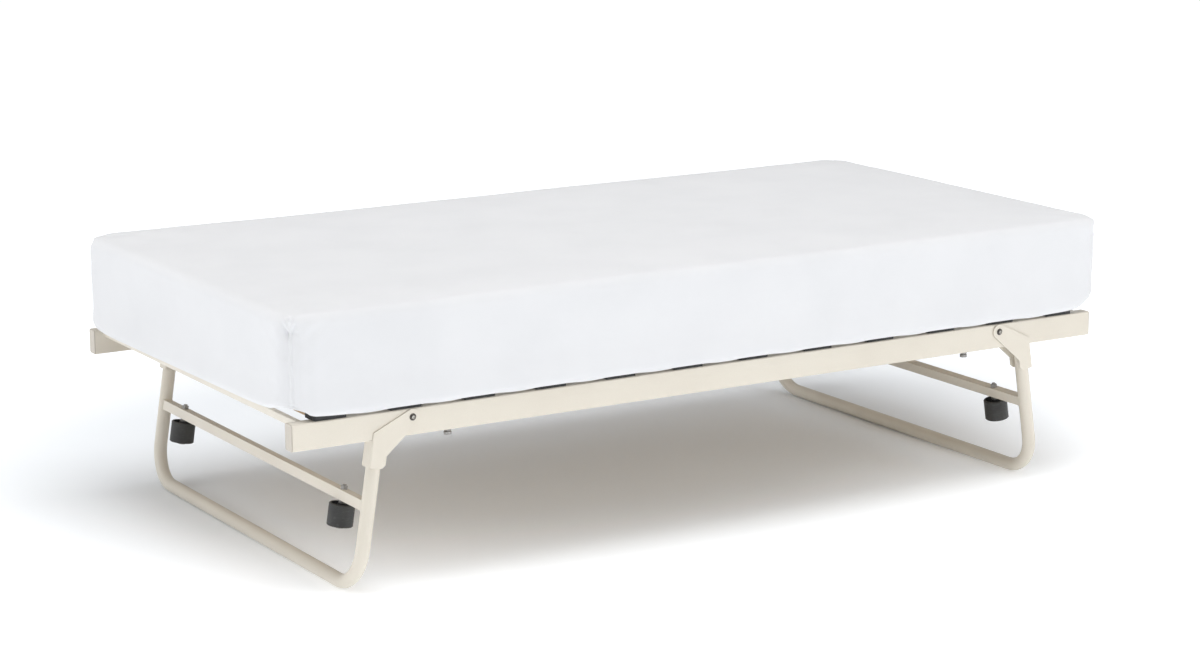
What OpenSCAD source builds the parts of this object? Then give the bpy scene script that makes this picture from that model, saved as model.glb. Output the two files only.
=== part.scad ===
// Trundle bed: a welded steel frame on two fold-under leg frames, with sprung
// slats, four rollers and a mattress in a fitted sheet.
// X runs along the bed with the head end at -X, Y across it with the front rail
// at -Y, Z is up from the floor. The origin is the floor point under the centre.

/* [Frame] */
// Length of the steel frame
frame_l = 1905; // [1850:5:2000]
// Width of the steel frame over its side rails
frame_w = 990; // [880:5:1050]
// Height of the side rails' top above the floor
rail_top = 356; // [330:1:380]
// Height of a side rail
rail_h = 52; // [45:1:60]
// Width of a side rail
rail_w = 28; // [25:1:32]
// Wall of every steel tube
wall = 1.5; // [1.2:0.1:2]
// Height of an end rail
end_rail_h = 15; // [12:1:25]
// Depth of an end rail
end_rail_d = 12; // [10:1:20]
// Distance from a side rail's end to the end rail
end_rail_setback = 21; // [15:1:30]

/* [Slats] */
// Number of sprung slats
slat_n = 12; // [12:1:12]
// Width of a slat
slat_w = 60; // [50:1:65]
// Thickness of a slat
slat_t = 8; // [7:0.5:9]
// Distance from the frame's end to the middle of the outermost slat
slat_inset = 82.5; // [80:0.5:90]
// Width of a slat cap along the bed
cap_w = 68; // [66:1:76]
// Depth of a slat cap across the bed
cap_d = 42; // [38:1:50]
// Height of a slat cap above the rail
cap_h = 11.5; // [11:0.5:14]
// Distance from the side rail's outer face to the cap
cap_inset = 4; // [3:0.5:6]

/* [Legs] */
// Diameter of the leg tube
tube_d = 28; // [25:1:28]
// Lean of the leg frames away from the middle of the bed, in degrees
leg_tilt = 9; // [7:0.5:11]
// Distance from the frame's end to the leg pivot
pivot_inset = 250; // [230:5:270]
// Depth of the leg pivot below the rail's top
pivot_drop = 16; // [16:1:18]
// Distance from the pivot to the leg tube's axis
tube_offset = 62; // [60:1:66]
// Bend radius of the leg tube's axis
bend_r = 80; // [70:5:100]
// Height of the cross bar above the floor
cross_bar_z = 174; // [165:1:185]
// Side of the square cross bar
cross_bar_side = 20; // [18:1:22]
// Gap between a bracket cheek and the rail
cheek_gap = 0.5; // [0.4:0.1:0.8]
// Thickness of the bracket's steel
plate_t = 2.5; // [2:0.5:3]
// Distance from a leg tube to the roller's axis
roller_inset = 104; // [90:2:130]
// Diameter of a roller
roller_d = 51; // [44:1:54]
// Length of a roller
roller_l = 44; // [34:1:46]

/* [Mattress] */
// Length of the mattress in its sheet
mattress_l = 1945; // [1900:5:1960]
// Width of the mattress in its sheet
mattress_w = 980; // [900:5:1000]
// Thickness of the mattress in its sheet
mattress_h = 190; // [150:5:220]
// Corner radius of the mattress, seen from above
mattress_r = 60; // [40:5:90]
// Thickness of the mattress's padding round its hollow spring core
padding_t = 13; // [10:1:30]

/* [Hidden] */
$fn = 96;

ivory = [0.91, 0.88, 0.82];
zinc = [0.72, 0.72, 0.70];
beech = [0.80, 0.66, 0.47];
rubber = [0.20, 0.20, 0.20];
charcoal = [0.24, 0.24, 0.23];
foam = [0.90, 0.88, 0.80];
linen = [0.95, 0.95, 0.96];

rail_y = (frame_w - rail_w) / 2;
rail_bottom = rail_top - rail_h;
rail_corner_r = 3;
plug_flange = 2;
plug_depth = 14;
plug_margin = 0.6;
pivot_x = frame_l / 2 - pivot_inset;
pivot_z = rail_top - pivot_drop;

// Running fit between a steel pin and what turns on it, and a loose bolt hole
fit_gap = 0.05;
hole_gap = 0.15;

slat_pitch = (frame_l - 2 * slat_inset) / (slat_n - 1);
slat_side_gap = 0.1;
slat_floor = 1.6;
slat_end_gap = 3;
slat_l = frame_w - 2 * (cap_inset + slat_end_gap);
cap_corner_r = 4;
peg_r = 4.9;
peg_l = 9;
peg_spread = 20;

tube_r = tube_d / 2;
// Height of a point of the leg frame, given its distances u outboard of the
// pivot and w above it while the leg stands square, is pivot_z + u sin + w cos.
floor_w = (tube_r - pivot_z - tube_offset * sin(leg_tilt)) / cos(leg_tilt);
cross_w = (cross_bar_z - pivot_z - tube_offset * sin(leg_tilt)) / cos(leg_tilt);

cheek_in = rail_w / 2 + cheek_gap;
cheek_out = cheek_in + plate_t;
bracket_bend_r = 3.5;
web_in = tube_offset + tube_r;
web_out = web_in + plate_t;
lobe_r = 15.5;
stop_gap = 0.3;
// The web's top edge rests on the rail's underside while the leg stands
web_top = (rail_bottom - stop_gap - pivot_z - web_out * sin(leg_tilt)) / cos(leg_tilt);
tube_top = web_top - 3;
bracket_bottom = -101;
bracket_inboard = tube_offset - tube_r - 3;
bracket_knee = -77;
bracket_shoulder = -34;
bracket_chamfer = 7;

pin_r = 4;
head_r = 7;
head_h = 4;
head_gap = 0.2;
socket_r = 2.9;
socket_depth = 2.4;
nut_r = 7.4;
nut_h = 6.5;
pivot_spacer_r = 7;

stop_screw_r = 3.9;
stop_head_r = 7.5;
stop_head_h = 5.5;
stop_nut_h = 4;
stop_thread = 12;
stop_inset = 82.5;
// A folded leg tube lies level and comes to rest on the stop screw's head
stop_drop = rail_bottom - (pivot_z - tube_offset + tube_r) - stop_gap;

roller_play = 0.3;
axle_spacer_l = 7;
axle_spacer_r = 7.5;
axle_head_r = 8;
axle_head_h = 4;
axle_nut_h = 6.5;
// Heights along the axle, from the cross bar's middle
roller_top = -cross_bar_side / 2 - axle_spacer_l - roller_play;
roller_bottom = roller_top - roller_l;
axle_top = cross_bar_side / 2 + axle_nut_h + 3;
roller_hub_r = 9;
roller_rim = 4;
roller_recess = 9;
roller_edge = 1.5;

cloth_t = 1;
hem_w = 70;
mattress_bottom = rail_top + cap_h + 0.3;

function side_sign(i) = i == 0 ? -1 : 1;
function slat_x(i) = -frame_l / 2 + slat_inset + i * slat_pitch;
// Where the tangent from point p touches a circle of radius r round the origin
function tangent(p, r, turn) =
    let (a = atan2(p[1], p[0]) + turn * acos(r / norm(p)))
    [r * cos(a), r * sin(a)];

module rounded_rect(size, r) {
    square([size[0] - 2 * r, size[1]], center = true);
    square([size[0], size[1] - 2 * r], center = true);
    for (sx = [-1, 1], sy = [-1, 1])
        translate([sx * (size[0] / 2 - r), sy * (size[1] / 2 - r)]) circle(r);
}

module tube_section(size, r) {
    difference() {
        rounded_rect(size, r);
        rounded_rect([size[0] - 2 * wall, size[1] - 2 * wall], r - wall);
    }
}

// Stands children, drawn along Z, along the X axis instead
module along_x() {
    rotate([90, 0, 90]) children();
}

// Puts children, drawn round a pin along +Z, on the pivots' axes
module at_pivots(sx) {
    for (sy = [-1, 1])
        translate([sx * pivot_x, sy * rail_y, pivot_z]) rotate([-90 * sy, 0, 0]) children();
}

module side_rail(sy) {
    color(ivory)
    difference() {
        translate([-frame_l / 2 + plug_flange, sy * rail_y, rail_top - rail_h / 2])
            along_x()
            linear_extrude(frame_l - 2 * plug_flange)
            tube_section([rail_w, rail_h], rail_corner_r);
        for (sx = [-1, 1]) {
            translate([sx * pivot_x, sy * rail_y, pivot_z])
                rotate([90, 0, 0])
                cylinder(h = rail_w + 2, r = pin_r + fit_gap, center = true);
            translate([sx * (pivot_x - stop_inset), sy * rail_y, rail_bottom - 1])
                cylinder(h = wall + 2, r = stop_screw_r + hole_gap);
        }
        for (i = [0 : slat_n - 1], dx = [-1, 1])
            translate([slat_x(i) + dx * peg_spread, sy * rail_y, rail_top - wall - 1])
                cylinder(h = wall + 2, r = peg_r + fit_gap);
    }
}

module end_rail(sx) {
    color(ivory)
    translate([
        sx * (frame_l / 2 - end_rail_setback - end_rail_d / 2),
        frame_w / 2 - rail_w,
        rail_top - end_rail_h / 2
    ])
        rotate([90, 0, 0])
        linear_extrude(frame_w - 2 * rail_w)
        tube_section([end_rail_d, end_rail_h], 2);
}

module rail_end_plug() {
    flange = [rail_w - 2 * plug_margin, rail_h - 2 * plug_margin];
    stem = [rail_w - 2 * wall, rail_h - 2 * wall];
    translate([frame_l / 2 - plug_flange, 0, 0])
        along_x()
        linear_extrude(plug_flange)
        rounded_rect(flange, rail_corner_r);
    translate([frame_l / 2 - plug_flange - plug_depth, 0, 0])
        along_x()
        linear_extrude(plug_depth)
        rounded_rect(stem, rail_corner_r - wall);
}

module rail_end_plugs() {
    color(ivory)
    for (sx = [0, 1], sy = [-1, 1])
        translate([0, sy * rail_y, rail_top - rail_h / 2])
            mirror([sx, 0, 0]) rail_end_plug();
}

module slat(i) {
    color(beech)
    translate([slat_x(i) - slat_w / 2, slat_l / 2, rail_top + slat_floor])
        rotate([90, 0, 0])
        linear_extrude(slat_l)
        slat_section();
}

// A slat's cross-section, with its upper edges rounded over
module slat_section() {
    edge_r = 2;
    square([slat_w, slat_t - edge_r]);
    translate([edge_r, 0]) square([slat_w - 2 * edge_r, slat_t]);
    for (x = [edge_r, slat_w - edge_r])
        translate([x, slat_t - edge_r]) circle(edge_r);
}

module slat_cap() {
    pocket = [slat_w + 2 * slat_side_gap, slat_t + 2 * slat_side_gap];
    difference() {
        translate([0, cap_inset + cap_d / 2, 0])
            linear_extrude(cap_h)
            rounded_rect([cap_w, cap_d], cap_corner_r);
        translate([-pocket[0] / 2, cap_inset + slat_end_gap - slat_side_gap, slat_floor - slat_side_gap])
            cube([pocket[0], cap_d, pocket[1]]);
    }
    for (dx = [-1, 1])
        translate([dx * peg_spread, rail_w / 2, -peg_l])
            cylinder(h = peg_l, r = peg_r);
}

module slat_caps(i) {
    color(rubber)
    for (back = [0, 1])
        mirror([0, back, 0])
        translate([slat_x(i), -frame_w / 2, rail_top])
        slat_cap();
}

module button_head() {
    dome_r = (head_r * head_r + head_h * head_h) / (2 * head_h);
    difference() {
        intersection() {
            translate([0, 0, head_h - dome_r]) sphere(dome_r);
            cylinder(h = head_h, r = head_r);
        }
        translate([0, 0, head_h - socket_depth])
            cylinder(h = head_h, r = socket_r, $fn = 6);
    }
}

module pivot_bolts(sx) {
    color(zinc)
    at_pivots(sx) {
        translate([0, 0, cheek_out + head_gap]) button_head();
        translate([0, 0, -cheek_out - head_gap - nut_h - 2])
            cylinder(h = 2 * (cheek_out + head_gap) + nut_h + 2, r = pin_r);
    }
}

module nut(r, h) {
    difference() {
        cylinder(h = h, r = r, $fn = 6);
        translate([0, 0, -1]) cylinder(h = h + 2, r = pin_r);
    }
}

module pivot_nuts() {
    color(zinc)
    for (sx = [-1, 1])
        at_pivots(sx)
        translate([0, 0, -cheek_out - head_gap - nut_h])
        nut(nut_r, nut_h);
}

module pivot_spacers() {
    inside = rail_w - 2 * wall;
    color(zinc)
    for (sx = [-1, 1])
        at_pivots(sx)
        difference() {
            cylinder(h = inside, r = pivot_spacer_r, center = true);
            cylinder(h = inside + 2, r = pin_r + hole_gap, center = true);
        }
}

module at_fold_stops() {
    for (sx = [-1, 1], sy = [-1, 1])
        translate([sx * (pivot_x - stop_inset), sy * rail_y, rail_bottom]) children();
}

module fold_stop_screws() {
    color(zinc)
    at_fold_stops() {
        translate([0, 0, -stop_drop]) cylinder(h = stop_head_h, r = stop_head_r);
        translate([0, 0, -stop_drop]) cylinder(h = stop_drop + stop_thread, r = stop_screw_r);
    }
}

module fold_stop_nuts() {
    color(zinc)
    at_fold_stops()
        translate([0, 0, -stop_nut_h])
        difference() {
            cylinder(h = stop_nut_h, r = stop_head_r, $fn = 6);
            translate([0, 0, -1]) cylinder(h = stop_nut_h + 2, r = stop_screw_r);
        }
}

// Puts a leg part, drawn with +X outboard and +Z up along the tubes from the
// pivot, in its leaning place at the foot end (sx = 1) or the head end (sx = -1)
module at_leg(sx) {
    mirror([sx < 0 ? 1 : 0, 0, 0])
        translate([pivot_x, 0, pivot_z])
        rotate([0, -leg_tilt, 0])
        children();
}

// The U of a leg frame as a solid bar of radius r
module leg_bar(r) {
    bend_w = floor_w + bend_r;
    for (back = [0, 1])
        mirror([0, back, 0]) {
            translate([tube_offset, rail_y, bend_w])
                cylinder(h = tube_top - bend_w, r = r);
            translate([tube_offset, rail_y - bend_r, bend_w])
                rotate([90, 0, 90])
                rotate([0, 0, -90])
                rotate_extrude(angle = 90)
                translate([bend_r, 0])
                circle(r);
        }
    translate([tube_offset, 0, floor_w])
        rotate([90, 0, 0])
        cylinder(h = 2 * (rail_y - bend_r), r = r, center = true);
}

module leg_tube(sx) {
    color(ivory)
    at_leg(sx)
    difference() {
        leg_bar(tube_r);
        leg_bar(tube_r - wall);
    }
}

module cross_bar(sx) {
    inner = cross_bar_side - 2 * wall;
    color(ivory)
    at_leg(sx)
    translate([tube_offset, 0, cross_w])
    difference() {
        cube([cross_bar_side, 2 * rail_y, cross_bar_side], center = true);
        cube([inner, 2 * rail_y + 2, inner], center = true);
        for (sy = [-1, 1]) {
            translate([0, sy * rail_y, 0])
                cylinder(h = 2 * cross_bar_side, r = tube_r, center = true);
            translate([0, sy * (rail_y - roller_inset), 0])
                cylinder(h = 2 * cross_bar_side, r = pin_r + fit_gap, center = true);
        }
    }
}

// Side view of a bracket: a lobe round the pivot that widens to the leg tube
module cheek_outline() {
    knee = [bracket_inboard, bracket_knee];
    shoulder = [web_out, bracket_shoulder];
    circle(lobe_r);
    polygon([
        tangent(knee, lobe_r, -1),
        knee,
        [bracket_inboard, bracket_bottom + bracket_chamfer],
        [bracket_inboard + bracket_chamfer, bracket_bottom],
        [web_out, bracket_bottom],
        shoulder,
        tangent(shoulder, lobe_r, 1)
    ]);
}

// Section of a bracket's folded channel, open on its inboard side
module channel_section() {
    inner_r = bracket_bend_r - plate_t;
    difference() {
        union() {
            translate([-lobe_r - 1, -cheek_out])
                square([web_out - bracket_bend_r + lobe_r + 1, 2 * cheek_out]);
            translate([0, -cheek_out + bracket_bend_r])
                square([web_out, 2 * (cheek_out - bracket_bend_r)]);
            for (sy = [-1, 1])
                translate([web_out - bracket_bend_r, sy * (cheek_out - bracket_bend_r)])
                    circle(bracket_bend_r);
        }
        translate([-lobe_r - 2, -cheek_in])
            square([web_in - inner_r + lobe_r + 2, 2 * cheek_in]);
        translate([0, -cheek_in + inner_r])
            square([web_in, 2 * (cheek_in - inner_r)]);
    }
}

module bracket(sx, sy) {
    color(ivory)
    at_leg(sx)
    translate([0, sy * rail_y, 0])
    difference() {
        intersection() {
            rotate([90, 0, 0])
                linear_extrude(2 * cheek_out + 2, center = true)
                cheek_outline();
            translate([0, 0, bracket_bottom - 1])
                linear_extrude(lobe_r - bracket_bottom + 2)
                channel_section();
        }
        translate([web_in - bracket_bend_r, -cheek_in, web_top])
            cube([2 * bracket_bend_r, 2 * cheek_in, lobe_r - web_top]);
        rotate([90, 0, 0])
            cylinder(h = 2 * cheek_out + 2, r = pin_r + fit_gap, center = true);
    }
}

// Puts children at the two roller axles of a leg, at the cross bar's axis
module at_axles(sx) {
    at_leg(sx)
    for (sy = [-1, 1])
        translate([tube_offset, sy * (rail_y - roller_inset), cross_w]) children();
}

module axle_bolts(sx) {
    color(zinc)
    at_axles(sx) {
        translate([0, 0, roller_bottom - roller_play - axle_head_h])
            cylinder(h = axle_head_h, r = axle_head_r);
        translate([0, 0, roller_bottom - roller_play])
            cylinder(h = axle_top - roller_bottom + roller_play, r = pin_r);
    }
}

module axle_spacers(sx) {
    color(zinc)
    at_axles(sx)
        translate([0, 0, roller_top + roller_play])
        difference() {
            cylinder(h = axle_spacer_l, r = axle_spacer_r);
            translate([0, 0, -1]) cylinder(h = axle_spacer_l + 2, r = pin_r + fit_gap);
        }
}

module axle_nuts(sx) {
    color(zinc)
    at_axles(sx)
        translate([0, 0, cross_bar_side / 2])
        nut(nut_r, axle_nut_h);
}

// Half of a roller's section: a rim and a hub joined by a web
module roller_section() {
    outer = roller_d / 2;
    inner = outer - roller_rim;
    bore = pin_r + fit_gap;
    difference() {
        translate([bore, 0]) square([outer - bore, roller_l]);
        for (y = [-1, roller_l - roller_recess])
            translate([roller_hub_r, y]) square([inner - roller_hub_r, roller_recess + 1]);
        for (y = [0, roller_l])
            translate([outer, y]) rotate(45) square(roller_edge * sqrt(2), center = true);
    }
}

module roller(sx, sy) {
    color(charcoal)
    at_leg(sx)
        translate([tube_offset, sy * (rail_y - roller_inset), cross_w + roller_bottom])
        rotate_extrude()
        roller_section();
}

// The mattress's block, drawn in by a margin on every side
module mattress_block(margin) {
    translate([0, 0, mattress_bottom + margin])
        linear_extrude(mattress_h - 2 * margin)
        rounded_rect([mattress_l - 2 * margin, mattress_w - 2 * margin], mattress_r - margin);
}

module mattress() {
    color(foam)
    difference() {
        mattress_block(cloth_t);
        mattress_block(cloth_t + padding_t);
    }
}

// Cloth over the top and sides of the mattress, turned in under its edges
module fitted_sheet() {
    color(linen)
    difference() {
        mattress_block(0);
        mattress_block(cloth_t);
        translate([0, 0, mattress_bottom - 1])
            linear_extrude(cloth_t + 2)
            rounded_rect([mattress_l - 2 * hem_w, mattress_w - 2 * hem_w], mattress_r / 2);
    }
}

side_rail(-1);  // front_side_rail
side_rail(1);  // back_side_rail
end_rail(-1);  // head_end_rail
end_rail(1);  // foot_end_rail
rail_end_plugs();
for (i = [0 : slat_n - 1]) {
    number = str(i < 9 ? "0" : "", i + 1);
    slat(i);
    slat_caps(i);
}
pivot_bolts(-1);  // head_pivot_bolts
pivot_bolts(1);  // foot_pivot_bolts
pivot_nuts();
pivot_spacers();
fold_stop_screws();
fold_stop_nuts();
for (k = [0, 1]) {
    end_name = k == 0 ? "head" : "foot";
    sx = side_sign(k);
    leg_tube(sx);
    cross_bar(sx);
    bracket(sx, -1);
    bracket(sx, 1);
    axle_bolts(sx);
    axle_spacers(sx);
    axle_nuts(sx);
    roller(sx, -1);
    roller(sx, 1);
}
mattress();
fitted_sheet();
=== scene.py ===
"""Looks of the trundle bed: materials for the steel frame, and its mattress in a fitted sheet."""

import math

import bpy
import numpy as np
from mathutils import Matrix, Vector, noise


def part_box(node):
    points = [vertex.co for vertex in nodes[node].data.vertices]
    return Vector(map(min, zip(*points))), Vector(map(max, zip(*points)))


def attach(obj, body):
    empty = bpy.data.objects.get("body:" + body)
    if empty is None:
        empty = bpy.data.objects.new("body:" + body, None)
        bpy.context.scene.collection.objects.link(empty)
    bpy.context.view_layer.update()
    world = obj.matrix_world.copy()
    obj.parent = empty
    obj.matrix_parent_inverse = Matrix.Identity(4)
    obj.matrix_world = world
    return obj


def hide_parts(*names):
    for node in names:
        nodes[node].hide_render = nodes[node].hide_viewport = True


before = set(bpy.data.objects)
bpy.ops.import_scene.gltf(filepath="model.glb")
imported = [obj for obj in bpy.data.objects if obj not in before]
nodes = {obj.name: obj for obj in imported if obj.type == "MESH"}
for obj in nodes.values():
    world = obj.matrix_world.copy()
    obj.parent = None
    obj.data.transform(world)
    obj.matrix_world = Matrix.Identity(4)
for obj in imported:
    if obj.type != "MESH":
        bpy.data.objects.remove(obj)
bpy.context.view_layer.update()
scene = bpy.context.scene

# ---------------------------------------------------------------- measures read from the frame

SHEET_LO, SHEET_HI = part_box("fitted_sheet")
CAP_OUT, CAP_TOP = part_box("slat_caps_01")[1].yz
SLAT_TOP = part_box("slat_01")[1].z
SLATS = range(1, 13)
SLAT_XS = [sum(c.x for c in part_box(f"slat_{i:02d}")) / 2 for i in SLATS]
ENDS = ("head", "foot")
SIDES = ("front", "back")

# ---------------------------------------------------------------- camera

# place in metres, and turns in radians
EYE = Vector((-3.1763, -5.24165, 1.67313))
YAW, PITCH, ROLL = 0.54657, 0.21608, -0.00294
# focal length over image width
FOCAL_SHARE = 2926.75 / 1200
SENSOR_MM = 36


def make_camera():
    """The camera that was fitted to the photo's edges."""
    ahead = Vector((math.sin(YAW) * math.cos(PITCH), math.cos(YAW) * math.cos(PITCH), -math.sin(PITCH)))
    right = Vector((math.cos(YAW), -math.sin(YAW), 0))
    up = right.cross(ahead)
    right, up = (
        math.cos(ROLL) * right + math.sin(ROLL) * up,
        math.cos(ROLL) * up - math.sin(ROLL) * right,
    )
    data = bpy.data.cameras.new("camera")
    data.sensor_width = SENSOR_MM
    data.lens = SENSOR_MM * FOCAL_SHARE
    data.clip_start, data.clip_end = 0.1, 200
    cam = bpy.data.objects.new("camera", data)
    turn = Matrix((right, up, -ahead)).transposed()
    cam.matrix_world = Matrix.Translation(EYE) @ turn.to_4x4()
    scene.collection.objects.link(cam)
    scene.camera = cam


# ---------------------------------------------------------------- node helpers


# how steeply edges() rises as the rounded normal leaves the plain one
EDGE_GAIN = 4.0


class Nodes:
    """A short way to write a material's node tree."""

    def __init__(self, name):
        self.material = bpy.data.materials.new(name)
        self.material.use_nodes = True
        self.tree = self.material.node_tree
        self.tree.nodes.clear()
        self.out = self.tree.nodes.new("ShaderNodeOutputMaterial")
        self.shader = self.tree.nodes.new("ShaderNodeBsdfPrincipled")
        self.link(self.shader.outputs[0], self.out.inputs[0])
        self.coords = self.tree.nodes.new("ShaderNodeTexCoord").outputs["Object"]

    def link(self, a, b):
        self.tree.links.new(a, b)

    def put(self, socket, value):
        if isinstance(value, bpy.types.NodeSocket):
            self.link(value, socket)
        else:
            socket.default_value = value

    def node(self, kind, inputs=None, **settings):
        made = self.tree.nodes.new(kind)
        for key, value in settings.items():
            setattr(made, key, value)
        for key, value in (inputs or {}).items():
            self.put(made.inputs[key], value)
        return made

    def math(self, operation, a, b=0.0, clamp=False):
        return self.node("ShaderNodeMath", {0: a, 1: b}, operation=operation, use_clamp=clamp).outputs[0]

    def mapped(self, scale, vector=None):
        made = self.node("ShaderNodeMapping", {"Vector": vector or self.coords})
        made.inputs["Scale"].default_value = scale
        return made.outputs[0]

    def noise(self, scale, detail=2.0, rough=0.5, vector=None, distortion=0.0):
        inputs = {"Scale": scale, "Detail": detail, "Roughness": rough, "Distortion": distortion}
        inputs["Vector"] = vector or self.coords
        return self.node("ShaderNodeTexNoise", inputs).outputs["Fac"]

    def ramp(self, factor, stops):
        made = self.node("ShaderNodeValToRGB", {"Fac": factor})
        elements = made.color_ramp.elements
        while len(elements) < len(stops):
            elements.new(0.5)
        for element, (at, colour) in zip(elements, stops):
            element.position = at
            element.color = (*colour, 1.0)
        return made.outputs[0]

    def between(self, factor, low, high):
        made = self.node("ShaderNodeMapRange", {"Value": factor})
        made.inputs["To Min"].default_value = low
        made.inputs["To Max"].default_value = high
        return made.outputs[0]

    def mix(self, factor, a, b, blend="MIX"):
        made = self.node("ShaderNodeMix", data_type="RGBA", blend_type=blend)
        self.put(made.inputs["Factor"], factor)
        self.put(made.inputs[6], a)
        self.put(made.inputs[7], b)
        return made.outputs[2]

    def bump(self, height, strength, distance, normal=None):
        inputs = {"Height": height, "Strength": strength, "Distance": distance}
        if normal is not None:
            inputs["Normal"] = normal
        return self.node("ShaderNodeBump", inputs).outputs[0]

    def rounded(self, radius):
        return self.node("ShaderNodeBevel", {"Radius": radius}, samples=4).outputs[0]

    def edges(self, radius):
        """Rises to 1 along a piece's edges, and is 0 on its flats."""
        plain = self.node("ShaderNodeNewGeometry").outputs["Normal"]
        dot = self.node("ShaderNodeVectorMath", {0: self.rounded(radius), 1: plain}, operation="DOT_PRODUCT")
        return self.math("MULTIPLY", self.math("SUBTRACT", 1.0, dot.outputs["Value"]), EDGE_GAIN, clamp=True)

    def axes(self, socket):
        return self.node("ShaderNodeSeparateXYZ", {0: socket}).outputs

    def set(self, **sockets):
        for key, value in sockets.items():
            self.put(self.shader.inputs[key.replace("_", " ")], value)
        return self.material


def rgb(*c):
    return (*c, 1.0)


# ---------------------------------------------------------------- materials

# repeats of the patterns, in metres
PLY = 0.0016
SHEET_WEAVE = 0.0011
TICKING_WEAVE = 0.0018
TICKING_STRIPE = 0.022


def powder_coat():
    """Ivory powder coat: a fine orange peel, faintly uneven in tone, and a patchy painted highlight along the
    edges.
    """
    n = Nodes("ivory_powder_coat")
    tone = n.ramp(
        n.noise(5.0, 3.0),
        [(0.30, (0.684, 0.632, 0.544)), (0.55, (0.711, 0.662, 0.572)), (0.80, (0.730, 0.682, 0.593))],
    )
    speckle = n.ramp(n.noise(900.0, 1.0), [(0.30, (0.95, 0.95, 0.94)), (0.55, (1.0, 1.0, 1.0))])
    colour = n.mix(0.6, tone, speckle, "MULTIPLY")
    # painted highlight: the colour is lightened along the edges, in patches
    painted_edge_highlight = n.math("MULTIPLY", n.edges(0.0012), n.noise(60.0, 3.0))
    colour = n.mix(n.math("MULTIPLY", painted_edge_highlight, 0.35), colour, rgb(0.800, 0.763, 0.688))
    peel = n.math("ADD", n.noise(520.0, 2.0), n.math("MULTIPLY", n.noise(110.0, 1.0), 0.7))
    normal = n.bump(peel, 0.22, 0.0004, n.rounded(0.0007))
    rough = n.between(n.noise(35.0, 3.0), 0.30, 0.44)
    return n.set(Base_Color=colour, Roughness=rough, Normal=normal, Coat_Weight=0.12, Coat_Roughness=0.25)


def moulded_ivory():
    """The end plugs' plastic: a little darker than the coat, with a fine moulded grain."""
    n = Nodes("ivory_moulded_plastic")
    colour = n.ramp(n.noise(30.0, 2.0), [(0.3, (0.520, 0.478, 0.418)), (0.7, (0.565, 0.522, 0.458))])
    normal = n.bump(n.noise(1400.0, 2.0), 0.25, 0.0002, n.rounded(0.0012))
    return n.set(Base_Color=colour, Roughness=n.between(n.noise(90.0), 0.42, 0.55), Normal=normal)


def zinc():
    """Zinc plating: faintly mottled, with fine turned lines, and a painted highlight along the edges."""
    n = Nodes("zinc_plating")
    colour = n.ramp(
        n.noise(160.0, 4.0, 0.6),
        [(0.25, (0.22, 0.21, 0.19)), (0.5, (0.30, 0.29, 0.28)), (0.8, (0.38, 0.37, 0.36))],
    )
    # painted highlight: the colour is lightened along the edges
    colour = n.mix(n.math("MULTIPLY", n.edges(0.0008), 0.5), colour, rgb(0.50, 0.49, 0.47))
    fine = n.math("ADD", n.noise(2500.0, 2.0), n.noise(400.0, 2.0))
    normal = n.bump(fine, 0.18, 0.0002, n.rounded(0.0004))
    return n.set(
        Base_Color=colour, Metallic=1.0, Roughness=n.between(n.noise(220.0, 3.0), 0.26, 0.50), Normal=normal
    )


def bolt_finish(name):
    """A bolt head, dark in a ring round a bright centre, on the axis of the named bolts."""
    n = Nodes(name + "_finish")
    lo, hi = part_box(name)
    x, _, z = n.axes(n.coords)
    dx = n.math("SUBTRACT", x, (lo.x + hi.x) / 2)
    dz = n.math("SUBTRACT", z, (lo.z + hi.z) / 2)
    away = n.math("SQRT", n.math("ADD", n.math("MULTIPLY", dx, dx), n.math("MULTIPLY", dz, dz)))
    away = n.math("DIVIDE", away, (hi.z - lo.z) / 2)
    # the colour is dark beyond a radius from the bolts' axis and bright inside it
    ring = n.ramp(away, [(0.40, (0.0, 0.0, 0.0)), (0.52, (1.0, 1.0, 1.0))])
    mottle = n.noise(300.0, 3.0)
    bright = n.ramp(mottle, [(0.3, (0.50, 0.48, 0.44)), (0.7, (0.66, 0.64, 0.60))])
    black = n.ramp(mottle, [(0.3, (0.055, 0.050, 0.045)), (0.7, (0.110, 0.100, 0.090))])
    colour = n.mix(n.axes(ring)[0], bright, black)
    colour = n.mix(n.math("MULTIPLY", n.edges(0.0006), 0.4), colour, rgb(0.42, 0.40, 0.36))
    normal = n.bump(n.noise(1800.0, 2.0), 0.15, 0.0002, n.rounded(0.0005))
    return n.set(Base_Color=colour, Metallic=0.7, Roughness=n.between(mottle, 0.30, 0.46), Normal=normal)


def beech():
    """Laminated beech: long grain along the slat, short flecks, and plies on its edges."""
    n = Nodes("laminated_beech")
    long_grain = n.noise(1.0, 6.0, 0.65, n.mapped((150.0, 2.2, 150.0)), 0.6)
    flecks = n.noise(1.0, 2.0, 0.5, n.mapped((900.0, 70.0, 900.0)))
    colour = n.ramp(
        long_grain,
        [
            (0.25, (0.47, 0.30, 0.155)),
            (0.45, (0.63, 0.44, 0.25)),
            (0.62, (0.72, 0.53, 0.33)),
            (0.8, (0.78, 0.61, 0.40)),
        ],
    )
    colour = n.mix(n.between(flecks, 0.0, 0.35), colour, rgb(0.42, 0.26, 0.13), "MULTIPLY")
    z = n.axes(n.coords)[2]
    plies = n.math("SINE", n.math("MULTIPLY", z, 2 * math.pi / PLY))
    side = n.math("ABSOLUTE", n.axes(n.node("ShaderNodeNewGeometry").outputs["Normal"])[0])
    on_edge = n.math("MULTIPLY", n.math("MULTIPLY", plies, side), 0.30, clamp=True)
    colour = n.mix(on_edge, colour, rgb(0.33, 0.20, 0.10))
    height = n.math("ADD", long_grain, n.math("MULTIPLY", flecks, 0.4))
    normal = n.bump(height, 0.30, 0.0004, n.rounded(0.0008))
    rough = n.between(long_grain, 0.36, 0.60)
    return n.set(Base_Color=colour, Roughness=rough, Normal=normal, Coat_Weight=0.10)


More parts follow.
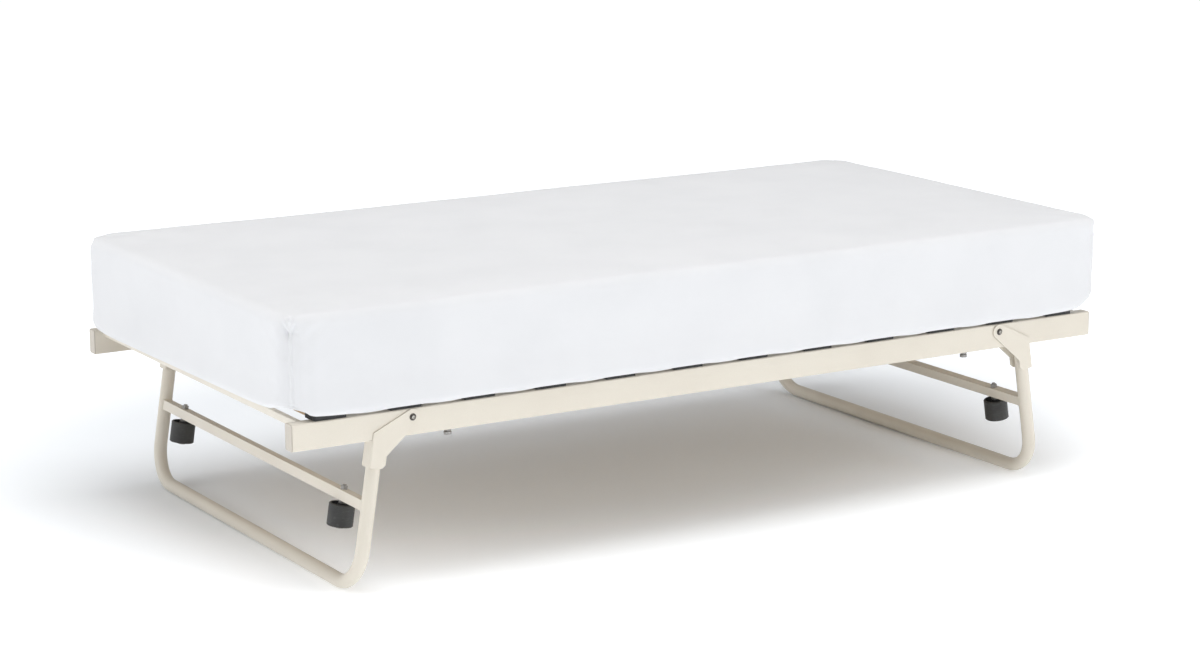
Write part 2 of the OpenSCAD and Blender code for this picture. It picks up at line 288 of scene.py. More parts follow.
def rubber():
    """Black rubber: dull and grainy, with a patchy painted highlight on its edges."""
    n = Nodes("slat_cap_rubber")
    colour = n.ramp(n.noise(45.0, 4.0), [(0.3, (0.018, 0.018, 0.019)), (0.75, (0.042, 0.042, 0.043))])
    # painted highlight: the black is lightened along the edges, in patches
    painted_rim_highlight = n.math("MULTIPLY", n.edges(0.0015), n.noise(140.0, 3.0))
    colour = n.mix(n.math("MULTIPLY", painted_rim_highlight, 0.4), colour, rgb(0.13, 0.13, 0.125))
    normal = n.bump(n.noise(1100.0, 3.0), 0.35, 0.0003, n.rounded(0.001))
    return n.set(Base_Color=colour, Roughness=n.between(n.noise(70.0, 3.0), 0.55, 0.78), Normal=normal)


def roller_plastic():
    """Charcoal plastic: a fine moulded grain with dull scuffs."""
    n = Nodes("charcoal_roller_plastic")
    colour = n.ramp(n.noise(38.0, 4.0, 0.6), [(0.3, (0.020, 0.020, 0.019)), (0.75, (0.042, 0.042, 0.040))])
    scuffs = n.noise(1.0, 4.0, 0.7, n.mapped((90.0, 90.0, 700.0)))
    scuffs = n.ramp(scuffs, [(0.56, (0.0, 0.0, 0.0)), (0.70, (1.0, 1.0, 1.0))])
    colour = n.mix(n.math("MULTIPLY", n.axes(scuffs)[0], 0.30), colour, rgb(0.16, 0.16, 0.155))
    normal = n.bump(n.noise(1500.0, 2.0), 0.30, 0.0003, n.rounded(0.001))
    return n.set(Base_Color=colour, Roughness=n.between(n.noise(60.0, 3.0), 0.42, 0.62), Normal=normal)


def woven(n, period):
    """Height of a plain weave, laid on whichever plane the surface faces."""
    x, y, z = (n.math("SINE", n.math("MULTIPLY", a, 2 * math.pi / period)) for a in n.axes(n.coords))
    normal = n.axes(n.node("ShaderNodeNewGeometry").outputs["Normal"])
    nx, ny, nz = (n.math("POWER", n.math("ABSOLUTE", a), 2.0) for a in normal)
    facing = ((x, y, nz), (x, z, ny), (y, z, nx))
    planes = [n.math("MULTIPLY", n.math("MULTIPLY", a, b), share) for a, b, share in facing]
    return n.math("ADD", n.math("ADD", planes[0], planes[1]), planes[2])


def cotton():
    """White percale: a fine plain weave, slubs, and creases too small to model."""
    n = Nodes("white_percale")
    colour = n.ramp(
        n.noise(7.0, 4.0),
        [(0.30, (0.735, 0.740, 0.754)), (0.55, (0.754, 0.758, 0.772)), (0.80, (0.768, 0.772, 0.784))],
    )
    slubs = n.noise(1.0, 2.0, 0.5, n.mapped((60.0, 900.0, 900.0)))
    colour = n.mix(n.between(slubs, 0.0, 0.05), colour, rgb(0.647, 0.657, 0.675), "MULTIPLY")
    creases = n.noise(9.0, 3.0, 0.55, None, 0.8)
    soft = n.bump(creases, 0.30, 0.004)
    height = n.math("ADD", woven(n, SHEET_WEAVE), n.math("MULTIPLY", slubs, 0.8))
    normal = n.bump(height, 0.18, 0.0003, soft)
    return n.set(Base_Color=colour, Roughness=0.88, Normal=normal, Sheen_Weight=0.12, Sheen_Roughness=0.5)


def ticking():
    """The mattress's own cover: cream damask with a faint stripe."""
    n = Nodes("mattress_ticking")
    along = n.axes(n.coords)[0]
    stripe = n.math("SINE", n.math("MULTIPLY", along, 2 * math.pi / TICKING_STRIPE))
    stripe = n.between(stripe, 0.0, 1.0)
    colour = n.mix(stripe, rgb(0.70, 0.675, 0.61), rgb(0.78, 0.765, 0.715))
    colour = n.mix(n.between(n.noise(14.0, 4.0), 0.0, 0.25), colour, rgb(0.66, 0.63, 0.56))
    height = n.math("ADD", woven(n, TICKING_WEAVE), n.math("MULTIPLY", stripe, 0.8))
    normal = n.bump(height, 0.30, 0.0006)
    return n.set(Base_Color=colour, Roughness=0.85, Normal=normal, Sheen_Weight=0.10, Sheen_Roughness=0.5)


def paint(names, material):
    """Gives CAD nodes a material."""
    for name in names:
        slots = nodes[name].material_slots
        for s in slots:
            s.material = material
        if not slots:
            nodes[name].data.materials.append(material)


# ---------------------------------------------------------------- mesh helpers


def new_piece(name, verts, faces, material, body, slot):
    """A smooth mesh piece that rides on a body and has its own material."""
    mesh = bpy.data.meshes.new(name)
    mesh.from_pydata([tuple(v) for v in verts], [], faces)
    mesh.update()
    mesh.polygons.foreach_set("use_smooth", [True] * len(mesh.polygons))
    obj = bpy.data.objects.new(name, mesh)
    scene.collection.objects.link(obj)
    obj.data.materials.append(material)
    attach(obj, body)
    return obj


# an open bead's radius at its tips, as a share of the whole
TIP = 0.35


def sweep(path, radius, closed, sides=8, ripple=0.12, pitch=0.003):
    """Vertices and faces of a bead along path, whose radius swells once every pitch."""
    path = [Vector(p) for p in path]
    count = len(path)
    verts, faces = [], []
    run = 0.0
    side_before = None
    for i, p in enumerate(path):
        before = path[i - 1] if (closed or i) else path[i]
        after = path[(i + 1) % count] if (closed or i < count - 1) else path[i]
        along = (after - before).normalized()
        if side_before is None:
            side_before = along.orthogonal()
        side = (side_before - along * side_before.dot(along)).normalized()
        side_before = side
        other = along.cross(side)
        swell = 1 + ripple * math.sin(2 * math.pi * run / pitch)
        taper = 1.0 if closed else min(1.0, TIP + (1 - TIP) * min(i, count - 1 - i) / 2)
        for k in range(sides):
            t = 2 * math.pi * k / sides
            verts.append(p + (side * math.cos(t) + other * math.sin(t)) * radius * swell * taper)
        run += (after - p).length
    for i in range(count if closed else count - 1):
        for k in range(sides):
            a, b = i * sides + k, i * sides + (k + 1) % sides
            c, d = ((i + 1) % count) * sides + (k + 1) % sides, ((i + 1) % count) * sides + k
            faces.append((a, b, c, d))
    if not closed:
        faces.append(tuple(reversed(range(sides))))
        faces.append(tuple((count - 1) * sides + k for k in range(sides)))
    return verts, faces


def joined(parts):
    """Several (vertices, faces) pairs as one."""
    verts, faces = [], []
    for v, f in parts:
        shift = len(verts)
        verts.extend(v)
        faces.extend(tuple(i + shift for i in face) for face in f)
    return verts, faces


# ---------------------------------------------------------------- weld beads

WELD_R = 0.0016
WELD_STEP = 0.001
WELD_DROP = 0.002
TUBE_R = 0.014
LEG_TILT = math.radians(9)


def ring_of(corners, step):
    """Points along the closed line through corners, one every step."""
    path = []
    for a, b in zip(corners, corners[1:] + corners[:1]):
        count = max(1, round((b - a).length / step))
        path += [a + (b - a) * (i / count) for i in range(count)]
    return path


def cross_bar_welds(end):
    """Beads where the cross bar meets the two legs, along the curve of each tube."""
    lo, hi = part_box(f"{end}_cross_bar")
    lean = LEG_TILT if end == "head" else -LEG_TILT
    centre = (lo + hi) / 2
    half = (hi.z - lo.z) / 2 / (math.cos(LEG_TILT) + math.sin(LEG_TILT))
    up = Vector((math.sin(lean), 0, math.cos(lean)))
    across = Vector((math.cos(lean), 0, -math.sin(lean)))
    square = [across * (sx * half) + up * (sz * half) for sx, sz in ((-1, -1), (1, -1), (1, 1), (-1, 1))]
    tube_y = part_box(f"{end}_leg_tube")[1].y - TUBE_R
    parts = []
    for side in (-1, 1):
        path = []
        for p in ring_of(square, WELD_STEP):
            y = tube_y - math.sqrt(TUBE_R**2 - p.dot(across) ** 2)
            path.append(Vector((centre.x + p.x, side * y, centre.z + p.z)))
        parts.append(sweep(path, WELD_R, True))
    return new_piece(f"{end}_welds", *joined(parts), ivory, f"{end}_leg", "ivory_steel")


def end_rail_welds():
    """Beads down both sides of each end rail and under it, where it meets the side rails."""
    parts = []
    for end in ENDS:
        lo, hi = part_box(f"{end}_end_rail")
        for side in (-1, 1):
            y = side * hi.y
            top = hi.z - WELD_DROP
            corners = [(lo.x, top), (lo.x, lo.z), (hi.x, lo.z), (hi.x, top)]
            points = [Vector((x, y, z)) for x, z in corners]
            # the ring's last stretch, across the top, is left off
            path = ring_of(points, WELD_STEP)
            last = max(i for i, p in enumerate(path) if (p - points[3]).length < 0.6 * WELD_STEP)
            parts.append(sweep(path[: last + 1], WELD_R, False))
    return new_piece("frame_welds", *joined(parts), ivory, "frame", "ivory_steel")


# ---------------------------------------------------------------- mattress and sheet

CORNER_R = 0.060
TOP_EDGE_R = 0.016
BOTTOM_EDGE_R = 0.007
START_MARGIN = 0.003
SHEET_T = 0.0007
TOP_Z = SHEET_HI.z + 0.0005
BOTTOM_Z = SHEET_LO.z
HALF_L = SHEET_HI.x + 0.008
HALF_W = SHEET_HI.y + 0.007
HEM_IN = 0.070
# the mattress lies a little towards the foot and the front
SHIFT = np.array([0.012, -0.006, 0.0])

# the grid: how far each fine zone reaches in from an edge, and its step
FINE, FINE_STEP = 0.024, 0.003
NEAR, NEAR_STEP = 0.108, 0.006
MIDDLE_STEP = 0.015
LOW, LOW_STEP = 0.012, 0.002
HIGH, HIGH_STEP = 0.030, 0.003
SIDE_ROWS = 22


def stations(half):
    """Grid lines from -half to half: finest at both ends and coarser towards the middle."""
    from_end = np.concatenate([np.arange(0, FINE, FINE_STEP), np.arange(FINE, NEAR, NEAR_STEP)])
    span = half - NEAR
    middle = np.linspace(-span, span, max(2, round(2 * span / MIDDLE_STEP)))
    return np.concatenate([-half + from_end, middle, (half - from_end)[::-1]])


def levels(bottom, top):
    """Grid lines from bottom to top, finer near the rolled edges."""
    low = bottom + np.arange(0, LOW, LOW_STEP)
    high = top - np.arange(0, HIGH, HIGH_STEP)[::-1]
    return np.concatenate([low, np.linspace(bottom + LOW, top - HIGH, SIDE_ROWS), high])


def box_grid(xs, ys, zs):
    """The six gridded faces of a box as one closed mesh of quads."""
    index, verts, faces = {}, [], []

    def vert(i, j, k):
        key = (i, j, k)
        if key not in index:
            index[key] = len(verts)
            verts.append((xs[i], ys[j], zs[k]))
        return index[key]

    nx, ny, nz = len(xs) - 1, len(ys) - 1, len(zs) - 1
    for i in range(nx):
        for j in range(ny):
            faces.append((vert(i, j, nz), vert(i + 1, j, nz), vert(i + 1, j + 1, nz), vert(i, j + 1, nz)))
            faces.append((vert(i, j, 0), vert(i, j + 1, 0), vert(i + 1, j + 1, 0), vert(i + 1, j, 0)))
    for i in range(nx):
        for k in range(nz):
            faces.append((vert(i, 0, k), vert(i + 1, 0, k), vert(i + 1, 0, k + 1), vert(i, 0, k + 1)))
            faces.append((vert(i, ny, k), vert(i, ny, k + 1), vert(i + 1, ny, k + 1), vert(i + 1, ny, k)))
    for j in range(ny):
        for k in range(nz):
            faces.append((vert(0, j, k), vert(0, j, k + 1), vert(0, j + 1, k + 1), vert(0, j + 1, k)))
            faces.append((vert(nx, j, k), vert(nx, j + 1, k), vert(nx, j + 1, k + 1), vert(nx, j, k + 1)))
    return np.array(verts, float), faces


def round_pair(a, b):
    """Maps a square corner region onto a quarter disc of the same reach."""
    reach = np.maximum(a, b)
    length = np.maximum(np.hypot(a, b), 1e-12)
    return a / length * reach, b / length * reach


def rounded_block(verts, half_l, half_w, bottom, top):
    """Rounds a gridded box: its corners seen from above, and its top and bottom edges."""
    x, y, z = verts.T
    over_x = np.maximum(np.abs(x) - (half_l - CORNER_R), 0)
    over_y = np.maximum(np.abs(y) - (half_w - CORNER_R), 0)
    core_x, core_y = np.abs(x) - over_x, np.abs(y) - over_y
    round_x, round_y = round_pair(over_x, over_y)
    out = np.maximum(over_x, over_y)
    # how far into the edge's roll each point is, outward and upward
    middle, half_h = (top + bottom) / 2, (top - bottom) / 2
    edge_r = np.where(z > middle, TOP_EDGE_R, BOTTOM_EDGE_R)
    h = np.abs(z - middle)
    u = np.maximum(out - (CORNER_R - edge_r), 0)
    w = np.maximum(h - (half_h - edge_r), 0)
    u2, w2 = round_pair(u, w)
    scale = np.where(out > 1e-9, (out - u + u2) / np.maximum(out, 1e-9), 1)
    return np.stack(
        [
            np.sign(x) * (core_x + round_x * scale),
            np.sign(y) * (core_y + round_y * scale),
            middle + np.sign(z - middle) * (h - w + w2),
        ],
        1,
    )


# the puffing: how long it is simulated, how far it may go, and where it fades out above the hem
PUFF_FRAMES = 20
PUFF_LIMIT = 0.007
PUFF_FROM, PUFF_OVER = 0.004, 0.060


def simulate(rest, faces):
    """How each point moves when the block is puffed out as cloth under pressure, up to the limit."""
    mesh = bpy.data.meshes.new("puffed")
    mesh.from_pydata([tuple(v) for v in rest], [], faces)
    mesh.update()
    obj = bpy.data.objects.new("puffed", mesh)
    scene.collection.objects.link(obj)
    cloth = obj.modifiers.new("cloth", "CLOTH")
    settings = cloth.settings
    settings.quality = 5
    settings.mass = 0.3
    settings.tension_stiffness = settings.compression_stiffness = 15
    settings.shear_stiffness = 5
    settings.bending_stiffness = 0.5
    settings.use_pressure = True
    settings.uniform_pressure_force = 4
    settings.effector_weights.gravity = 0
    cloth.collision_settings.use_collision = False
    cloth.point_cache.frame_start, cloth.point_cache.frame_end = 1, PUFF_FRAMES
    for number in range(1, PUFF_FRAMES + 1):
        scene.frame_set(number)
    evaluated = obj.evaluated_get(bpy.context.evaluated_depsgraph_get())
    moved = np.array([v.co for v in evaluated.data.vertices], float)
    bpy.data.objects.remove(obj)
    scene.frame_set(1)
    shift = moved - rest
    far = np.linalg.norm(shift, axis=1)
    return shift * (PUFF_LIMIT * np.tanh(far / PUFF_LIMIT) / np.maximum(far, 1e-9))[:, None]


def smooth_step(t):
    """0 below 0, 1 above 1, and a smooth rise between."""
    t = np.clip(t, 0, 1)
    return t * t * (3 - 2 * t)


def rise(t, start, over):
    """A smooth rise from 0 at the start to 1, over that length."""
    return smooth_step((t - start) / over)


def hill(t, centre, width):
    """1 at the centre, falling off smoothly to both sides."""
    return np.exp(-(((t - centre) / width) ** 2))


def fractal(points, scale, octaves=2):
    """Smooth noise from -1 to 1 at each point; the same on every run."""
    total = np.zeros(len(points))
    for o in range(octaves):
        f = scale * 2**o
        start = Vector((7.3 * o, 1.7, 4.1))
        total += np.array([noise.noise(Vector(p * f) + start) for p in points]) / 2**o
    return total


# stands for a place that is beside no corner
FAR = 9.0


def corner_place(x, y):
    """Length along the sides from the nearest vertical corner's middle: above 0 on the long side."""
    cx, cy = HALF_L - CORNER_R, HALF_W - CORNER_R
    ax, ay = np.abs(x) - cx, np.abs(y) - cy
    angle = np.arctan2(np.maximum(ay, 0), np.maximum(ax, 0))
    arc = (angle - math.pi / 4) * CORNER_R
    # beyond the curve the distance goes on along the straight sides
    arc = np.where(ay < 0, -(math.pi / 4) * CORNER_R + ay, arc)
    arc = np.where(ax < 0, (math.pi / 4) * CORNER_R - ax, arc)
    return np.where((ax < 0) & (ay < 0), FAR, arc)


def outward(verts, faces):
    """Unit normals at the vertices."""
    quads = np.array(faces)
    a, b, c, d = (verts[quads[:, i]] for i in range(4))
    face_n = np.cross(c - a, d - b)
    total = np.zeros_like(verts)
    for i in range(4):
        np.add.at(total, quads[:, i], face_n)
    return total / np.maximum(np.linalg.norm(total, axis=1), 1e-12)[:, None]


def outline_inset(points):
    """How far inside the block's outline each point is, seen from above."""
    over_x = np.abs(points[:, 0]) - (HALF_L - CORNER_R)
    over_y = np.abs(points[:, 1]) - (HALF_W - CORNER_R)
    corner = (over_x > 0) & (over_y > 0)
    straight = CORNER_R - np.maximum(over_x, over_y)
    return np.where(corner, CORNER_R - np.hypot(over_x, over_y), straight)


def from_corner(points):
    """Distance from the nearest corner of the block's outline, seen from above."""
    return np.hypot(np.abs(points[:, 0]) - HALF_L, np.abs(points[:, 1]) - HALF_W)


# the underside: how far it sinks on the slats and clears the caps
SINK = 0.0005
CAP_GAP = 0.0009
# its sag between two slats, and how much less that is over the rails
SAG, SAG_LESS = 0.0035, 0.0015
SAG_FROM, SAG_OVER = 0.036, 0.030
RAIL_FROM, RAIL_OVER = 0.425, 0.010
# its lip outside the caps, its rise at both ends (more in front), and its rise at the corners
LIP = 0.0050
LIP_FROM, LIP_OVER = 0.0008, 0.0014
END_RISE, END_RISE_SLOPE = 0.0045, 0.0090
END_FROM, END_OVER = 0.905, 0.045
CORNER_RISE, CORNER_REACH = 0.0075, 0.07


def underside(points):
    """Height of the sheet's underside: on the caps and slats, sagging between, drawn up at the ends."""
    x, y, _ = (points + SHIFT).T
    from_slat = np.min(np.abs(x[:, None] - np.array(SLAT_XS)[None, :]), axis=1)
    inside = (x > SLAT_XS[0]) & (x < SLAT_XS[-1])
    on_rail = rise(np.abs(y), RAIL_FROM, RAIL_OVER)
    rest = SLAT_TOP - SINK + (CAP_TOP + SHEET_T + CAP_GAP - SLAT_TOP) * on_rail
    sag = rise(from_slat, SAG_FROM, SAG_OVER) * inside * (SAG - SAG_LESS * on_rail)
    lip = LIP * rise(np.abs(y) - CAP_OUT, LIP_FROM, LIP_OVER)
    at_ends = (END_RISE - END_RISE_SLOPE * y) * rise(np.abs(x), END_FROM, END_OVER)
    at_corners = CORNER_RISE * hill(from_corner(points), 0, CORNER_REACH)
    return rest - sag - lip + at_ends + at_corners


# a sewn corner's relief: each part's height or depth, then its width along the sides
RIDGE, RIDGE_W = 0.0024, 0.0030
# the hollow round the seam, at the head's front corner and at the other three
HOLLOW_NEAR, HOLLOW_OTHER, HOLLOW_W = 0.0066, 0.0036, 0.0165
HOLLOW_FROM, HOLLOW_OVER = 0.006, 0.024
PUCKER, PUCKER_W, PUCKER_PITCH, PUCKER_SLANT = 0.0010, 0.016, 0.021, 90
GATHER, GATHER_W, GATHER_PITCH, GATHER_SLANT = 0.0020, 0.022, 0.0125, 230
GATHER_DOWN, GATHER_H = 0.022, 0.014
# each tuck beside the seam: distance from the top, slope along the side, and depth
TUCKS = [(0.033, 0.10, 0.0044), (0.047, 0.14, 0.0038)]
TUCK_H, TUCK_PLACE, TUCK_W = 0.0045, 0.013, 0.013
DIMPLE, DIMPLE_PLACE, DIMPLE_W = 0.0034, -0.006, 0.006
DIMPLE_DOWN, DIMPLE_H = 0.037, 0.013
# a shallow fold down the long side, and a low swelling down the end
FOLD, FOLD_PLACE, FOLD_SLOPE, FOLD_OVER = 0.0026, 0.044, 0.05, 0.05
SWELL, SWELL_PLACE, SWELL_OVER = 0.0020, -0.026, 0.04
FOLD_W = 0.012


def sewn_corner(arc, z, slack, hollow):
    """Relief of the sheet's corner: the seam's ridge in a hollow, with puckers, tucks and folds beside it."""
    from_top = np.clip(TOP_Z - z, 0, None)
    relief = RIDGE * hill(arc, 0, RIDGE_W)
    relief -= hollow * hill(arc, 0, HOLLOW_W) * rise(from_top, HOLLOW_FROM, HOLLOW_OVER)
    lines = np.sin(z * 2 * math.pi / PUCKER_PITCH + arc * PUCKER_SLANT)
    relief += PUCKER * lines * np.exp(-np.abs(arc) / PUCKER_W)
    lines = np.sin(np.abs(arc) * 2 * math.pi / GATHER_PITCH + from_top * GATHER_SLANT + slack)
    relief += GATHER * lines * hill(from_top, GATHER_DOWN, GATHER_H) * hill(arc, 0, GATHER_W)
    # the tucks run out from the seam on the long side, and the dimple is on the end's side
    for place, slope, depth in TUCKS:
        line = hill(from_top - place - slope * arc, 0, TUCK_H)
        relief -= depth * line * hill(arc, TUCK_PLACE, TUCK_W)
    relief -= DIMPLE * hill(arc, DIMPLE_PLACE, DIMPLE_W) * hill(from_top, DIMPLE_DOWN, DIMPLE_H)
    relief -= FOLD * hill(arc + from_top * FOLD_SLOPE, FOLD_PLACE, FOLD_W) * rise(from_top, 0, FOLD_OVER)
    relief += SWELL * hill(arc, SWELL_PLACE, FOLD_W) * rise(from_top, 0, SWELL_OVER)
    return relief


# the cloth's waves: height, how fine the noise is, and its stretch up the sides
SIDE_WAVE, SIDE_FINENESS, SIDE_STRETCH = 0.0022, 4.5, np.array([1.0, 1.0, 0.45])
TOP_WAVE, TOP_FINENESS = 0.0016, 2.4
SLACK_FINENESS = 9.0
# the pull lines that fan out from the corners
PULL, PULL_PITCH, PULL_REACH = 0.0011, 0.045, 0.11
PULL_ALONG, PULL_DOWN = 0.8, 0.19
# how far the hem draws the bottom corners in, towards a place inside the corner, and over what reach
DRAW_IN, DRAW_AIM = 0.008, 0.15
DRAW_UNDER, DRAW_ALONG, DRAW_UP = 0.10, 0.060, 0.085
# the part of the side that follows the underside
FOLLOW_UP = 0.035


def bedding():
    """The bedding's outer shape, its faces, and which of its points lie underneath."""
    m = START_MARGIN
    half_l, half_w = HALF_L - m, HALF_W - m
    bottom, top = BOTTOM_Z + m, TOP_Z - m
    grid, faces = box_grid(stations(half_l), stations(half_w), levels(bottom, top))
    block = rounded_block(grid, half_l, half_w, bottom, top)

    # the puffing dies out towards the hem, which holds the lower edge in place
    shape = block + outward(block, faces) * m
    shape += simulate(block, faces) * rise(grid[:, 2:] - bottom, PUFF_FROM, PUFF_OVER)

    on_under = grid[:, 2] < bottom + 1e-6
    x, y, z = shape.T
    height = np.clip((z - BOTTOM_Z) / (TOP_Z - BOTTOM_Z), 0, 1)
    out_n = outward(shape, faces)
    side_share = np.sqrt(np.clip(1 - out_n[:, 2] ** 2, 0, 1)) * ~on_under

    # slack and tension in the cloth
    arc = corner_place(x, y)
    slack = fractal(shape, SLACK_FINENESS, 1)
    wave = fractal(shape * SIDE_STRETCH, SIDE_FINENESS) * SIDE_WAVE * side_share
    wave += fractal(shape, TOP_FINENESS) * TOP_WAVE * np.clip(out_n[:, 2], 0, 1)
    across = np.abs(arc) * PULL_ALONG + (1 - height) * PULL_DOWN
    pull = np.sin(across * 2 * math.pi / PULL_PITCH + slack * 2)
    wave += PULL * pull * hill(arc, 0, PULL_REACH) * height * side_share
    hollow = np.where((x < 0) & (y < 0), HOLLOW_NEAR, HOLLOW_OTHER)
    wave += sewn_corner(arc, z, slack, hollow) * side_share
    shape = shape + out_n * wave[:, None]

    # the hem draws the bottom corners in
    low = smooth_step(1 - (shape[:, 2] - BOTTOM_Z) / DRAW_UP)
    at_corner = hill(from_corner(shape), 0, DRAW_UNDER)
    pulled_in = np.where(on_under, at_corner, low * hill(arc, 0, DRAW_ALONG))
    aim = np.stack([np.sign(x) * (HALF_L - DRAW_AIM), np.sign(y) * (HALF_W - DRAW_AIM)], 1)
    towards = aim - shape[:, :2]
    towards /= np.maximum(np.linalg.norm(towards, axis=1), 1e-9)[:, None]
    shape[:, :2] += towards * (DRAW_IN * pulled_in)[:, None]

    # the underside rests on the slats and caps, and the side's lowest part follows it
    rest_z = underside(shape)
    follow = smooth_step(1 - (shape[:, 2] - BOTTOM_Z) / FOLLOW_UP)
    shape[:, 2] = np.where(on_under, rest_z, shape[:, 2] + (rest_z - BOTTOM_Z) * follow)
    return shape, faces, on_under


# how far the mattress lies inside the sheet, and the hem's short folds
PAD_INSET = 0.0011
HEM_FOLD, HEM_PITCH = 0.0007, 0.026
HEM_FROM = 0.012


def make_bedding():
    """The mattress, and the sheet over it with its hem turned under."""
    shape, faces, on_under = bedding()
    normals = outward(shape, faces)
    verts = shape + SHIFT - normals * PAD_INSET
    pad = new_piece("mattress_pad", verts, faces, ticking(), "bedding", "mattress_cover")
    subdivide(pad)
    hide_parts("mattress")

    inset = outline_inset(shape)
    kept = ~on_under | (inset < HEM_IN)
    sheet_faces = [f for f in faces if all(kept[i] for i in f)]
    used = sorted({i for f in sheet_faces for i in f})
    place = {old: new for new, old in enumerate(used)}
    verts = shape[used]
    # the elastic gathers the cloth into short folds towards its edge
    uneven = fractal(verts, 12.0, 1) * 2.5
    fold = np.sin((verts[:, 0] + verts[:, 1]) * 2 * math.pi / HEM_PITCH + uneven)
    tight = rise(inset[used], HEM_FROM, HEM_IN - HEM_FROM) * on_under[used]
    verts = verts + normals[used] * (HEM_FOLD * fold * tight)[:, None]
    sheet_faces = [tuple(place[i] for i in f) for f in sheet_faces]
    sheet = new_piece("sheet_cloth", verts + SHIFT, sheet_faces, cotton(), "bedding", "sheet_cotton")
    thicken(sheet, SHEET_T)
    subdivide(sheet)
    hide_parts("fitted_sheet")


def subdivide(obj):
    """Smooths a mesh by one level of subdivision."""
    modifier = obj.modifiers.new("subdivision", "SUBSURF")
    modifier.levels = modifier.render_levels = 1


def thicken(obj, thickness):
    """Gives a surface its thickness, on its outer side."""
    modifier = obj.modifiers.new("thickness", "SOLIDIFY")
    modifier.thickness = thickness
    modifier.offset = 1.0
    modifier.use_even_offset = False


# ---------------------------------------------------------------- stage

# name, azimuth (0 in front, growing towards +X) and elevation in degrees, distance, width and height
# in metres, power in watts
PANELS = [
    ("front_panel", 32, 18, 8.0, 4.4, 3.2, 104),
    ("left_panel", -108, 26, 9.0, 5.5, 4.1, 116),
    ("overhead", -20, 81, 6.0, 5.3, 4.3, 214),
]
# the sky is darkest in line with the near corner and brightest to either side, more so on the left
SKY_MEAN = 0.49
SKY_LOBE = 0.18
SKY_TILT = 0.17
IN_LINE = (-0.55, -0.835, 0)
ASIDE = (0.835, -0.55, 0)
TILT = (-0.90, -0.30, 0)
AIM = Vector((0, 0, 0.25))

FLOOR_R, FLOOR_SIDES = 60.0, 64
# the floor's glow, painted light that leaves the floor under the bed darker as a painted shadow: its
# strength, the dark patch's centre, how much a distance along each axis counts, and the distances at which
# the glow starts and is full
GLOW = 0.52
GLOW_CENTRE = (0.08, 0.50, 0)
GLOW_SQUEEZE = (0.72, 1.0, 1.0)
GLOW_FROM, GLOW_FULL = 0.62, 1.5


def make_stage():
    """A white floor with a glow of painted light that grows away from the bed, sooner in front of it than
    behind, leaving a painted shadow under the bed.
    """
    mesh = bpy.data.meshes.new("floor")
    turns = [2 * math.pi * i / FLOOR_SIDES for i in range(FLOOR_SIDES)]
    verts = [(FLOOR_R * math.cos(turn), FLOOR_R * math.sin(turn), 0) for turn in turns]
    mesh.from_pydata(verts, [], [tuple(range(FLOOR_SIDES))])
    floor = bpy.data.objects.new("floor", mesh)
    scene.collection.objects.link(floor)
    n = Nodes("pale_floor")
    colour = n.ramp(n.noise(0.8, 2.0), [(0.3, (0.914, 0.942, 0.975)), (0.7, (0.924, 0.952, 0.983))])
    moved = n.node("ShaderNodeVectorMath", {0: n.coords}, operation="SUBTRACT")
    moved.inputs[1].default_value = GLOW_CENTRE
    away = n.mapped(GLOW_SQUEEZE, moved.outputs["Vector"])
    away = n.node("ShaderNodeVectorMath", {0: away}, operation="LENGTH").outputs["Value"]
    glow = n.node("ShaderNodeMapRange", {"Value": away}, interpolation_type="SMOOTHSTEP")
    glow.inputs["From Min"].default_value = GLOW_FROM
    glow.inputs["From Max"].default_value = GLOW_FULL
    strength = n.math("MULTIPLY", glow.outputs[0], GLOW)
    floor.data.materials.append(
        n.set(Base_Color=colour, Roughness=0.9, Emission_Color=rgb(1, 1, 1), Emission_Strength=strength)
    )


def area_light(name, azimuth, elevation, distance, size, power):
    """A soft panel of that size, in that direction from the bed and turned towards it."""
    data = bpy.data.lights.new(name, "AREA")
    data.shape = "RECTANGLE"
    data.size, data.size_y = size
    data.energy = power
    lamp = bpy.data.objects.new(name, data)
    a, e = math.radians(azimuth), math.radians(elevation)
    out = Vector((math.sin(a) * math.cos(e), -math.cos(a) * math.cos(e), math.sin(e)))
    lamp.location = AIM + distance * out
    lamp.rotation_mode = "QUATERNION"
    lamp.rotation_quaternion = (AIM - lamp.location).to_track_quat("-Z", "Y")
    lamp.visible_camera = False
    scene.collection.objects.link(lamp)


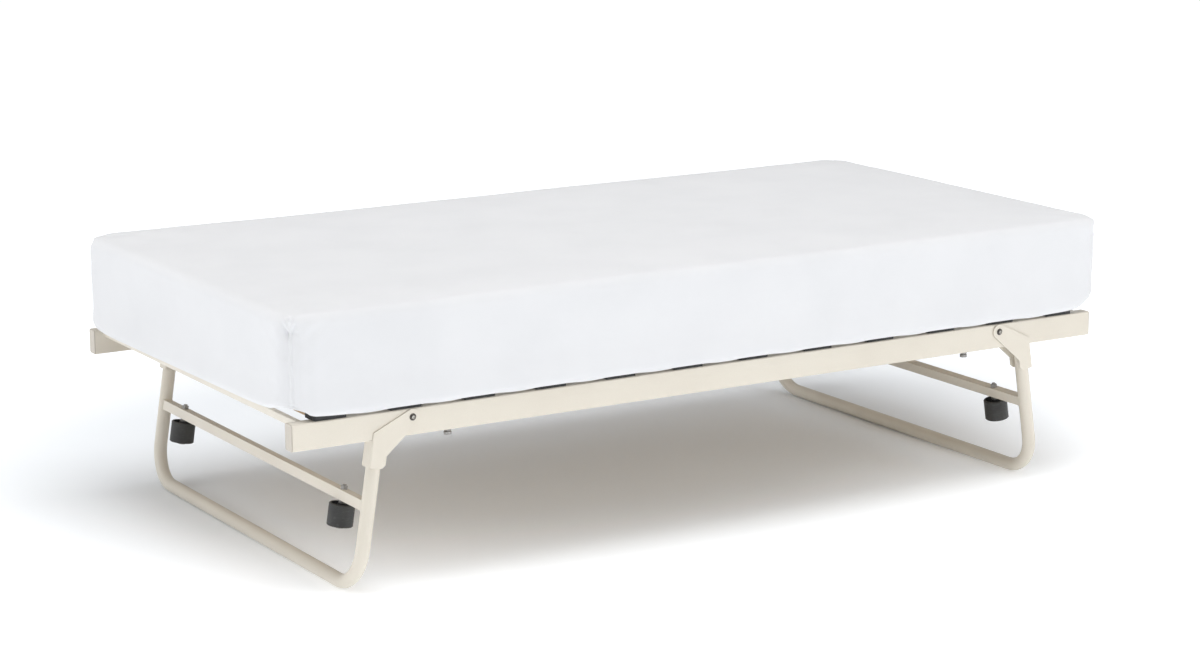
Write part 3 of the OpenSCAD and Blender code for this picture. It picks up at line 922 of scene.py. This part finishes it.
def make_lights():
    """The sky, whose brightness depends on the direction, and the panels."""
    world = bpy.data.worlds.new("studio")
    scene.world = world
    world.use_nodes = True
    tree = world.node_tree
    background = tree.nodes["Background"]
    background.inputs["Color"].default_value = (1, 1, 1, 1)
    coords = tree.nodes.new("ShaderNodeTexCoord")

    def facing(direction):
        node = tree.nodes.new("ShaderNodeVectorMath")
        node.operation = "DOT_PRODUCT"
        node.inputs[1].default_value = direction
        tree.links.new(coords.outputs["Generated"], node.inputs[0])
        return node.outputs["Value"]

    def times_plus(a, b, c):
        node = tree.nodes.new("ShaderNodeMath")
        node.operation = "MULTIPLY_ADD"
        for socket, value in zip(node.inputs, (a, b, c)):
            if isinstance(value, float):
                socket.default_value = value
            else:
                tree.links.new(value, socket)
        return node.outputs[0]

    in_line, aside = facing(IN_LINE), facing(ASIDE)
    lobes = times_plus(aside, aside, times_plus(times_plus(in_line, in_line, 0.0), -1.0, 0.0))
    level = times_plus(lobes, SKY_LOBE, times_plus(facing(TILT), SKY_TILT, SKY_MEAN))
    tree.links.new(level, background.inputs["Strength"])
    for name, azimuth, elevation, distance, width, height, power in PANELS:
        area_light(name, azimuth, elevation, distance, (width, height), power)
    scene.view_settings.view_transform = "Standard"
    scene.view_settings.look = "None"


# ---------------------------------------------------------------- build

make_camera()

ivory = powder_coat()
steel = [f"{side}_side_rail" for side in SIDES] + [f"{end}_end_rail" for end in ENDS]
leg_parts = ("leg_tube", "cross_bar", "bracket_front", "bracket_back")
steel += [f"{end}_{part}" for end in ENDS for part in leg_parts]
paint(steel, ivory)
paint(["rail_end_plugs"], moulded_ivory())
paint([f"slat_{i:02d}" for i in SLATS], beech())
paint([f"slat_caps_{i:02d}" for i in SLATS], rubber())
paint([f"{end}_roller_{side}" for end in ENDS for side in SIDES], roller_plastic())
for end in ENDS:
    paint([f"{end}_pivot_bolts"], bolt_finish(f"{end}_pivot_bolts"))
metal = ["pivot_nuts", "pivot_spacers", "fold_stop_screws", "fold_stop_nuts"]
metal += [f"{end}_axle_{part}" for end in ENDS for part in ("bolts", "spacers", "nuts")]
paint(metal, zinc())

for end in ENDS:
    cross_bar_welds(end)
end_rail_welds()
make_bedding()
make_stage()
make_lights()
